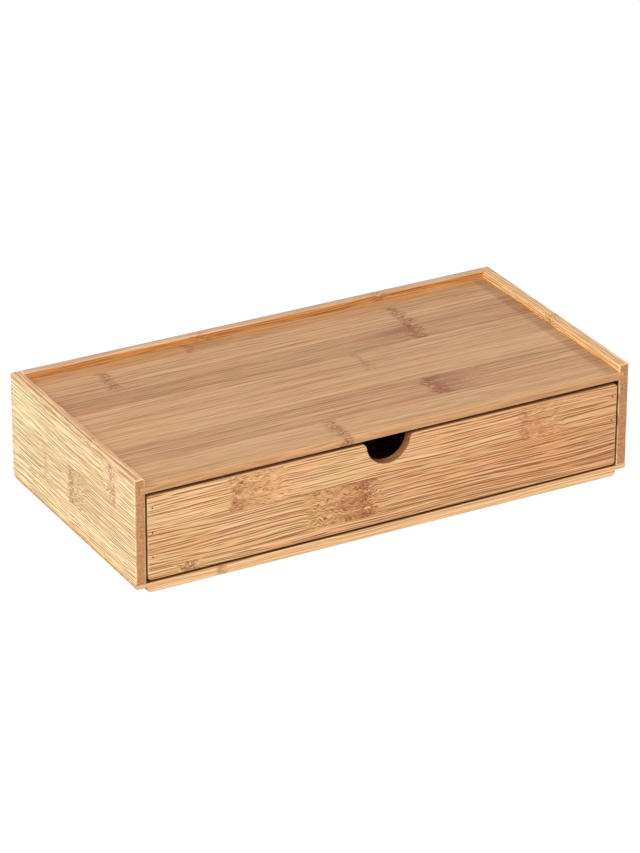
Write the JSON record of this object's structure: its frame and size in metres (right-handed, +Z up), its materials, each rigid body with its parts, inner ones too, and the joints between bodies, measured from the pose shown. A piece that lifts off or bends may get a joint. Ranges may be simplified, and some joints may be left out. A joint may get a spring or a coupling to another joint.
{
  "type": "bathroom storage box",
  "caption": "Low bamboo box with a rimmed tray on top and one drawer with a half-round finger notch; a stepped foot lets like boxes stack.",
  "frame": {"origin": "middle of the box's footprint, on the surface that it stands on", "axes": "+X to the right along the width, -Y out of the front, the way the drawer opens, +Z up"},
  "size_m": [0.3, 0.15, 0.0666],
  "materials": {
    "bamboo_side": "satin lacquered bamboo",
    "bamboo_tray": "satin lacquered bamboo",
    "bamboo_bottom": "satin lacquered bamboo",
    "bamboo_front": "satin lacquered bamboo",
    "bamboo_drawer": "sanded bamboo",
    "steel_brad": "dull, in shadow below the wood"
  },
  "bodies": {
    "case": {"left_side": "bamboo_side", "right_side": "bamboo_side", "back_panel": "bamboo_side", "tray_board": "bamboo_tray", "bottom_board": "bamboo_bottom", "bottom_brads_left": "steel_brad", "bottom_brads_right": "steel_brad", "bottom_brads_back": "steel_brad"},
    "drawer": {"drawer_front": "bamboo_front", "drawer_left_side": "bamboo_drawer", "drawer_right_side": "bamboo_drawer", "drawer_back": "bamboo_drawer", "drawer_floor": "bamboo_drawer", "front_brads_left": "steel_brad", "front_brads_right": "steel_brad", "back_brads_left": "steel_brad", "back_brads_right": "steel_brad"}
  },
  "joints": [
    {"name": "drawer_slide", "type": "slide", "parent": "case", "child": "drawer", "axis": [0, -1, 0], "range_m": [0, 0.12]}
  ]
}
